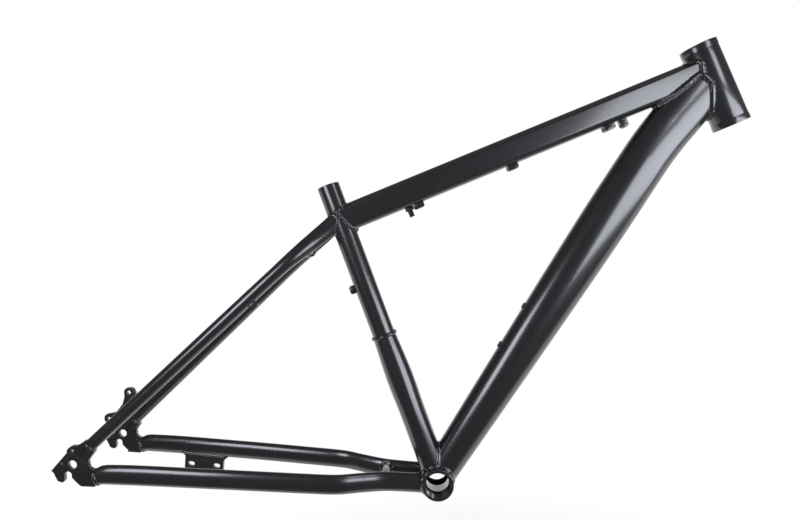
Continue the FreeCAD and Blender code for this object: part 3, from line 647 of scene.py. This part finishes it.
def weldTree():
    tree = bpy.data.node_groups.new("rippledBead", "GeometryNodeTree")
    face = tree.interface
    face.new_socket("Geometry", in_out="INPUT", socket_type="NodeSocketGeometry")
    for name in ("Bead Radius", "Ripple Pitch", "Ripple Height", "Shingle Angle", "Core Share"):
        face.new_socket(name, in_out="INPUT", socket_type="NodeSocketFloat")
    face.new_socket("Seed", in_out="INPUT", socket_type="NodeSocketInt")
    face.new_socket("Paint", in_out="INPUT", socket_type="NodeSocketMaterial")
    face.new_socket("Geometry", in_out="OUTPUT", socket_type="NodeSocketGeometry")
    given = addNode(tree, "NodeGroupInput").outputs
    curve = addNode(tree, "GeometryNodeMeshToCurve", {"Mesh": given["Geometry"]})
    path = addNode(tree, "GeometryNodeResampleCurve", {"Curve": curve.outputs[0], "Length": given["Ripple Pitch"]},
                   mode="LENGTH")
    up = addNode(tree, "GeometryNodeInputNamedAttribute", {"Name": "beadUp"}, data_type="FLOAT_VECTOR")
    size = addNode(tree, "GeometryNodeInputNamedAttribute", {"Name": "beadSize"}, data_type="FLOAT")
    stand = addNode(tree, "FunctionNodeAlignRotationToVector", {"Vector": up.outputs[0]}, axis="Z")
    tangent = addNode(tree, "GeometryNodeInputTangent")
    turn = addNode(tree, "FunctionNodeAlignRotationToVector",
                   {"Rotation": stand.outputs[0], "Vector": tangent.outputs[0]}, axis="X", pivot_axis="Z")
    tilt = addNode(tree, "ShaderNodeCombineXYZ", {"Y": given["Shingle Angle"]})
    lean = addNode(tree, "FunctionNodeEulerToRotation", {"Euler": tilt.outputs[0]})
    rotation = addNode(tree, "FunctionNodeRotateRotation",
                       {"Rotation": turn.outputs[0], "Rotate By": lean.outputs[0]}, rotation_space="LOCAL")
    jitter = addNode(tree, "FunctionNodeRandomValue", {"Seed": given["Seed"]}, data_type="FLOAT")
    jitter.inputs[2].default_value = welds["smallest"]
    jitter.inputs[3].default_value = welds["largest"]
    wide = addNode(tree, "ShaderNodeMath", {0: given["Bead Radius"], 1: jitter.outputs[1]}, operation="MULTIPLY")
    wide = addNode(tree, "ShaderNodeMath", {0: wide.outputs[0], 1: size.outputs[0]}, operation="MULTIPLY")
    tall = addNode(tree, "ShaderNodeMath", {0: wide.outputs[0], 1: given["Ripple Height"]}, operation="MULTIPLY")
    scale = addNode(tree, "ShaderNodeCombineXYZ",
                    {"X": given["Ripple Pitch"], "Y": wide.outputs[0], "Z": tall.outputs[0]})
    drop = addNode(tree, "GeometryNodeMeshIcoSphere", {"Radius": 1.0, "Subdivisions": 3})
    row = addNode(tree, "GeometryNodeInstanceOnPoints", {
        "Points": path.outputs[0], "Instance": drop.outputs[0], "Rotation": rotation.outputs[0],
        "Scale": scale.outputs[0]})
    real = addNode(tree, "GeometryNodeRealizeInstances", {"Geometry": row.outputs[0]})
    coreSize = addNode(tree, "ShaderNodeMath", {0: given["Bead Radius"], 1: given["Core Share"]}, operation="MULTIPLY")
    circle = addNode(tree, "GeometryNodeCurvePrimitiveCircle", {"Resolution": 10, "Radius": coreSize.outputs[0]})
    core = addNode(tree, "GeometryNodeCurveToMesh", {"Curve": path.outputs[0], "Profile Curve": circle.outputs[0]})
    both = addNode(tree, "GeometryNodeJoinGeometry")
    tree.links.new(core.outputs[0], both.inputs[0])
    tree.links.new(real.outputs[0], both.inputs[0])
    painted = addNode(tree, "GeometryNodeSetMaterial", {"Geometry": both.outputs[0], "Material": given["Paint"]})
    addNode(tree, "NodeGroupOutput", {"Geometry": painted.outputs[0]})
    return tree


beadTree = weldTree()
socketOf = {item.name: item.identifier for item in beadTree.interface.items_tree if item.in_out == "INPUT"}


def makeWeld(name, paths, radius, cfg):
    # each path is a list of (point, up, size) and says whether it is closed
    points, edges, ups, sizes = [], [], [], []
    for path, closed in paths:
        first = len(points)
        for point, up, share in path:
            points.append(point * mm)
            ups += list(up)
            sizes.append(share)
        edges += [(first + i, first + i + 1) for i in range(len(path) - 1)]
        if closed:
            edges.append((len(points) - 1, first))
    mesh = bpy.data.meshes.new(name)
    mesh.from_pydata(points, edges, [])
    mesh.attributes.new("beadUp", "FLOAT_VECTOR", "POINT").data.foreach_set("vector", ups)
    mesh.attributes.new("beadSize", "FLOAT", "POINT").data.foreach_set("value", sizes)
    piece = linked(name, mesh)
    ripple = piece.modifiers.new("ripple", "NODES")
    ripple.node_group = beadTree
    values = {"Bead Radius": radius * mm, "Ripple Pitch": cfg["pitch"] * mm, "Ripple Height": cfg["height"],
              "Shingle Angle": math.radians(cfg["shingle"]), "Core Share": cfg["core"], "Seed": cfg["seed"],
              "Paint": weldPaint}
    for key, value in values.items():
        ripple[socketOf[key]] = value
    bake(piece)
    return finishPiece(piece, [weldPaint], (), 50)


def firstMeeting(start, end, trees):
    best = None
    span = (end - start).length
    if span < 1e-6:
        return None
    for tree in trees:
        hit = tree.ray_cast(start * mm, (end - start).normalized(), span * mm)
        if hit[0] is not None and (best is None or hit[3] < best[1]):
            best = (hit[0] / mm, hit[3], hit[1])
    return best


def jointPath(grid, fromRing, toRing, trees, share=1.0, web=0.0):
    # closed path round the tube where its lines first meet the neighbours; a web makes it fatter above and below
    step = 1 if toRing > fromRing else -1
    sides = len(grid[0])
    tubeUp = sectionAxes(grid[1][0] - grid[0][0])[1]
    path = []
    for side in range(sides):
        found = None
        for ring in range(fromRing, toRing, step):
            found = firstMeeting(grid[ring][side], grid[ring + step][side], trees)
            if found:
                break
        here = found[0] if found else grid[toRing][side]
        outward = (grid[ring][side] - sum(grid[ring], Vector()) / sides).normalized()
        up = (outward + (found[2] if found else Vector())).normalized()
        path.append((here, up, share + web * abs(outward.dot(tubeUp)) ** welds["webFocus"]))
    return path


def ringPath(centre, axis, radius, share=1.0, count=48):
    sideways, up, _ = sectionAxes(axis)
    path = []
    for n in range(count):
        spoke = sideways * math.cos(2 * math.pi * n / count) + up * math.sin(2 * math.pi * n / count)
        path.append((centre + spoke * radius, spoke, share))
    return path


headSurface, seatSurface, shellSurface = surfaceTree(headTool), surfaceTree(seatTool), surfaceTree(shellTool)
topSurface, downSurface, lowerSurface = surfaceTree(topTool), surfaceTree(downTool), surfaceTree(lowerTool)
steps = downTube["steps"]
makeWeld("headTubeWelds", [
    (jointPath(topGrid, 20, topTube["rings"], [headSurface], 0.9, 0.4), True),
    (jointPath(downGrid, 60, steps, [headSurface, topSurface], 0.9, 0.8), True),
], welds["headRadius"], welds)
makeWeld("bottomBracketWelds", [
    (jointPath(downGrid, 60, 0, [shellSurface]), True),
    (jointPath(lowerGrid, 40, 0, [shellSurface, downSurface]), True),
    (jointPath(stayGrids["chainStayRight"], 40, 0, [shellSurface, lowerSurface]), True),
    (jointPath(stayGrids["chainStayLeft"], 40, 0, [shellSurface, lowerSurface]), True),
], welds["radius"], welds)
makeWeld("seatClusterWelds", [
    (jointPath(topGrid, 20, 0, [seatSurface], 1.0, 0.7), True),
    (jointPath(stayGrids["seatStayRight"], 40, 0, [seatSurface]), True),
    (jointPath(stayGrids["seatStayLeft"], 40, 0, [seatSurface]), True),
    (ringPath(seatAxis * lowerSeat["top"], seatAxis, seatTube["radius"] + 0.6, 0.8), True),
], welds["smallRadius"], welds)


def stayEndPath(grid):
    # round the end of a stay, where the forging is slotted into it
    ring = grid[-1]
    middle = sum(ring, Vector()) / len(ring)
    along = (middle - sum(grid[-2], Vector()) / len(ring)).normalized()
    return [(point.lerp(middle, 0.12), (point - middle).normalized() + along, 0.5) for point in ring]


def bridgePath(place, radius, surface, side):
    # where a round bar across the frame meets a stay
    path = []
    for n in range(36):
        turn = 2 * math.pi * n / 36
        spoke = Vector((math.cos(turn), 0, math.sin(turn)))
        start = place + spoke * radius
        found = firstMeeting(start, start + Vector((0, side * 60, 0)), [surface])
        if found:
            path.append((found[0], (spoke + found[2]).normalized(), 0.75))
    return path


def seamPath(first, last, ray, surface, facing, count=24):
    # straight row of points thrown along a ray on to a surface
    path = []
    for n in range(count + 1):
        start = first.lerp(last, n / count)
        found = firstMeeting(start, start + ray, [surface])
        if found:
            path.append((found[0], (facing + found[2]).normalized(), 0.8))
    return path


staySurfaces = {name: surfaceTree(tool) for name, tool in stayTools.items()}
dropoutPaths = [(stayEndPath(grid), True) for grid in stayGrids.values()]
makeWeld("dropoutWelds", dropoutPaths, welds["smallRadius"], welds)
bridges = {
    "seatStay": {"at": Vector((topRear.x - 50, 0, topRear.z - 39)), "radius": 7.5},
    "chainStay": {"at": Vector((-72, 0, 9)), "radius": 8},
}
makeWeld("bridgeWelds", [
    (bridgePath(bar["at"], bar["radius"], staySurfaces[name + sideName], side), True)
    for name, bar in bridges.items() for sideName, side in (("Right", -1), ("Left", 1))
], welds["smallRadius"], welds)
seam = {"inset": 2.0, "endGap": 6, "below": 5, "ray": 60}
low, high = (Vector(corner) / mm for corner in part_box("kickstand_plate"))
seams = []
for y, facing in ((low.y + seam["inset"], Vector((0, -1, 0))), (high.y - seam["inset"], Vector((0, 1, 0)))):
    first = Vector((low.x + seam["endGap"], y, low.z - seam["below"]))
    last = Vector((high.x - seam["endGap"], y, low.z - seam["below"]))
    seams.append((seamPath(first, last, Vector((0, 0, seam["ray"])), staySurfaces["chainStayLeft"], facing), False))
makeWeld("kickstandWelds", seams, welds["smallRadius"], welds)

discard(headTool, seatTool, shellTool, topTool, downTool, lowerTool, *stayTools.values())
print("welds laid")

# floor, light and camera

studio = {"floorLevel": -0.298, "floorFront": -0.15, "floorReach": 6.0, "shadowShare": 0.4, "shadowCore": 0.2,
          "shadowRadius": 0.75, "frontRoom": 0.12, "daylight": 0.45}


def seenDirectly(tree):
    # one for what the camera sees itself, by a mirror or through glass, nothing for light on its way to paint
    path = addNode(tree, "ShaderNodeLightPath")
    seen = addNode(tree, "ShaderNodeMath", {0: path.outputs["Is Camera Ray"], 1: path.outputs["Is Glossy Ray"]},
                   operation="MAXIMUM")
    seen = addNode(tree, "ShaderNodeMath", {0: seen.outputs[0], 1: path.outputs["Is Transmission Ray"]},
                   operation="MAXIMUM")
    return path, seen.outputs[0]


def makeFloor(cfg):
    # white paper: its shadow fades out at the rim, where it turns into the white background
    material, tree = newMaterial("whitePaperFloor")
    spot = addNode(tree, "ShaderNodeTexCoord").outputs["Object"]
    away = addNode(tree, "ShaderNodeVectorMath", {0: spot, 1: (0, 0, cfg["floorLevel"])}, operation="DISTANCE")
    share = addNode(tree, "ShaderNodeMapRange", {
        "Value": away.outputs["Value"], "From Min": cfg["shadowCore"], "From Max": cfg["shadowRadius"],
        "To Min": cfg["shadowShare"], "To Max": 0.0}, interpolation_type="SMOOTHSTEP")
    diffuse = addNode(tree, "ShaderNodeBsdfDiffuse", {"Color": linearColour("#f4f4f4")})
    glow = addNode(tree, "ShaderNodeEmission", {"Color": (1, 1, 1, 1), "Strength": 1.0})
    mix = addNode(tree, "ShaderNodeMixShader", {0: share.outputs["Result"], 1: glow.outputs[0],
                                                2: diffuse.outputs[0]})
    addNode(tree, "ShaderNodeOutputMaterial", {"Surface": mix.outputs[0]})
    mesh = bpy.data.meshes.new("floor")
    level, front, reach = cfg["floorLevel"], cfg["floorFront"], cfg["floorReach"]
    mesh.from_pydata([(-reach, front, level), (reach, front, level), (reach, reach, level), (-reach, reach, level)],
                     [], [[0, 1, 2, 3]])
    floor = linked("floor", mesh)
    floor.data.materials.append(material)


def makeWorld(cfg):
    # the backdrop behind the frame is white and the room in front of it is dim, also in the paint's shine
    world = bpy.data.worlds.new("studio")
    world.use_nodes = True
    tree = world.node_tree
    tree.nodes.clear()
    path, seen = seenDirectly(tree)
    towards = addNode(tree, "ShaderNodeTexCoord").outputs["Generated"]
    depth = addNode(tree, "ShaderNodeSeparateXYZ", {"Vector": towards}).outputs["Y"]
    room = addNode(tree, "ShaderNodeMapRange", {"Value": depth, "From Min": 0.6, "From Max": 0.95,
                                                "To Min": cfg["frontRoom"], "To Max": 1.0})
    white = addNode(tree, "ShaderNodeMath", {0: room.outputs["Result"], 1: path.outputs["Is Camera Ray"]},
                    operation="MAXIMUM")
    strength = addNode(tree, "ShaderNodeMix", {0: seen, 2: cfg["daylight"], 3: white.outputs[0]})
    sky = addNode(tree, "ShaderNodeBackground", {"Color": (1, 1, 1, 1), "Strength": strength.outputs[0]})
    addNode(tree, "ShaderNodeOutputWorld", {"Surface": sky.outputs[0]})
    bpy.context.scene.world = world


makeFloor(studio)
makeWorld(studio)

coolWhite = linearColour("#f1f4ff")[:3]
lamps = {
    "leftBox": {"at": (-0.53, -0.7, 0.51), "aim": (0.0, 0.0, 0.22), "size": (0.34, 0.4), "watts": 2.9},
    "rightBox": {"at": (0.95, -0.62, 0.3), "aim": (0.2, 0.0, 0.35), "size": (0.95, 0.5), "watts": 8.2},
    "headBox": {"at": (0.66, -0.5, 0.78), "aim": (0.45, 0.0, 0.55), "size": (0.22, 0.34), "watts": 1.2},
}
for name, cfg in lamps.items():
    data = bpy.data.lights.new(name, "AREA")
    data.shape = "RECTANGLE"
    data.size, data.size_y = cfg["size"]
    data.energy = cfg["watts"]
    data.color = coolWhite
    lamp = linked(name, data)
    lamp.location = cfg["at"]
    lamp.rotation_euler = (Vector(cfg["aim"]) - Vector(cfg["at"])).to_track_quat("-Z", "Y").to_euler()

cameraSpot = {"at": (-28.9, -879.6, 321.2), "yaw": -1.547, "pitch": -0.918, "tilt": 3.339, "lens": 28.016}


def makeCamera(cfg):
    yaw, pitch, tilt = (math.radians(cfg[key]) for key in ("yaw", "pitch", "tilt"))
    forward = Vector((math.sin(yaw) * math.cos(pitch), math.cos(yaw) * math.cos(pitch), math.sin(pitch)))
    right = Vector((math.cos(yaw), -math.sin(yaw), 0))
    up = right.cross(forward)
    level = Matrix.Rotation(tilt, 3, "Y")  # the photograph stands the frame nose up by this tilt
    columns = [level @ right, level @ up, level @ -forward]
    turn = Matrix([[c[i] for c in columns] for i in range(3)]).to_4x4()
    data = bpy.data.cameras.new("camera")
    data.lens = cfg["lens"]
    data.sensor_width = 36
    data.clip_start = 0.01
    camera = linked("camera", data)
    camera.matrix_world = Matrix.Translation(level @ Vector(cfg["at"]) * mm) @ turn
    bpy.context.scene.camera = camera


makeCamera(cameraSpot)
bpy.context.scene.view_settings.view_transform = "Standard"

print("scene ready")
